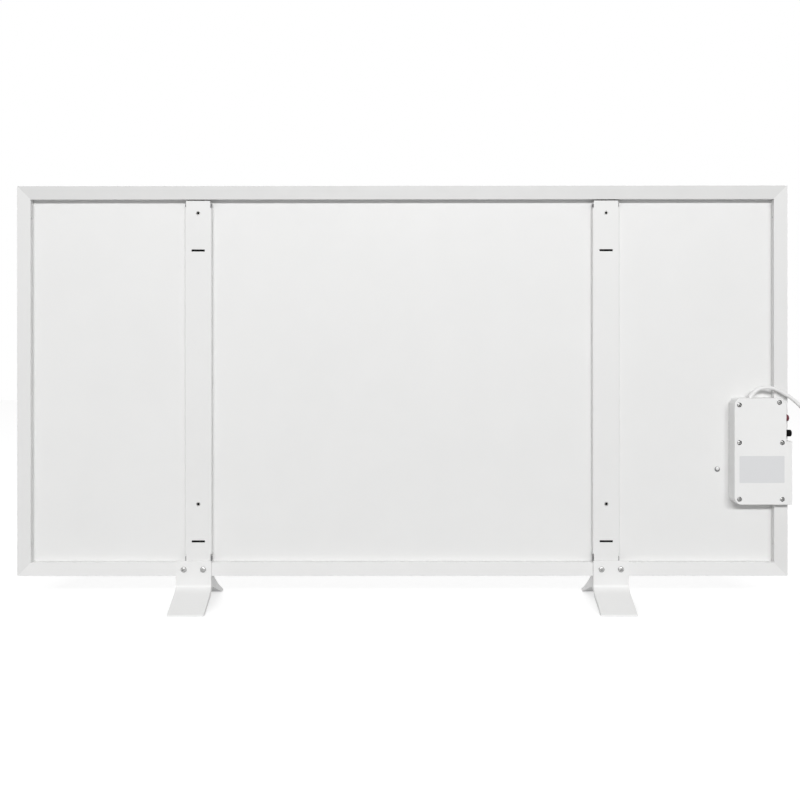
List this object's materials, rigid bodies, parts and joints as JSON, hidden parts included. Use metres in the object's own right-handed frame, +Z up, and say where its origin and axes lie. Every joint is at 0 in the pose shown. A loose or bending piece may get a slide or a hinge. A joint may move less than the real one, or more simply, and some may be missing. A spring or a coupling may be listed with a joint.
{
  "type": "infrared panel heater",
  "caption": "Flat white radiant heater panel on two feet, with a control box, pilot lamp, push button and mains cord on its rear.",
  "frame": {"origin": "on the floor, at the middle of the heater's bounding box without its cord", "axes": "+X to the right of a viewer behind the heater, +Y out of the warm front face, +Z up"},
  "size_m": [1.4596, 0.1664, 0.651],
  "materials": {
    "white_paint": "satin powder coat",
    "white_aluminium": "extruded, white powder coat",
    "white_plastic": "moulded, fine grain",
    "zinc": "zinc plated",
    "cast_aluminium": "as cast",
    "cord": "smooth sheath",
    "black_plastic": "moulded",
    "red_lens": "translucent, moulded",
    "film": "carbon film laminate",
    "insulation": "mineral wool board",
    "board": "laminate",
    "relay": "moulded",
    "nickel": "nickel plated",
    "lead": "silicone sheath"
  },
  "bodies": {
    "heater": {"back_plate": "white_paint", "back_rail_left": "white_paint", "back_rail_right": "white_paint", "box_screw_lower": "zinc", "box_screw_upper": "zinc", "button_spring": "nickel", "circuit_board": "board", "control_box_base": "white_plastic", "control_box_lid": "white_plastic", "cord_clamp": "white_plastic", "cord_coil": "cord", "cord_gland": "white_plastic", "cord_tail": "cord", "corner_key_bottom_left": "cast_aluminium", "corner_key_bottom_right": "cast_aluminium", "corner_key_top_left": "cast_aluminium", "corner_key_top_right": "cast_aluminium", "film_lead_live": "lead", "film_lead_neutral": "lead", "foot_left": "white_aluminium", "foot_right": "white_aluminium", "foot_screw_left_inner": "zinc", "foot_screw_left_outer": "zinc", "foot_screw_right_inner": "zinc", "foot_screw_right_outer": "zinc", "frame_bottom": "white_aluminium", "frame_left": "white_aluminium", "frame_right": "white_aluminium", "frame_top": "white_aluminium", "front_panel": "white_paint", "heating_film": "film", "inner_cord": "cord", "insulation_board": "insulation", "lead_grommet": "black_plastic", "lid_screw_bottom_left": "zinc", "lid_screw_bottom_right": "zinc", "lid_screw_middle_left": "zinc", "lid_screw_middle_right": "zinc", "lid_screw_top_left": "zinc", "lid_screw_top_right": "zinc", "nut_plate_left": "zinc", "nut_plate_right": "zinc", "pilot_body": "white_plastic", "pilot_lens": "red_lens", "plate_stud": "white_paint", "plug_body": "white_plastic", "plug_pins": "nickel", "power_cord": "cord", "power_module": "black_plastic", "rail_insert_left_lower": "zinc", "rail_insert_left_upper": "zinc", "rail_insert_right_lower": "zinc", "rail_insert_right_upper": "zinc", "relay": "relay", "switch_body": "black_plastic", "terminal_block": "white_plastic", "thermal_cutout": "black_plastic"},
    "button": {"push_button": "black_plastic"}
  },
  "joints": [
    {"name": "button_press", "type": "slide", "parent": "heater", "child": "button", "axis": [-1, 0, 0], "range_m": [0, 0.002], "stiffness_N_per_m": 400, "deforming": ["button_spring"]}
  ]
}
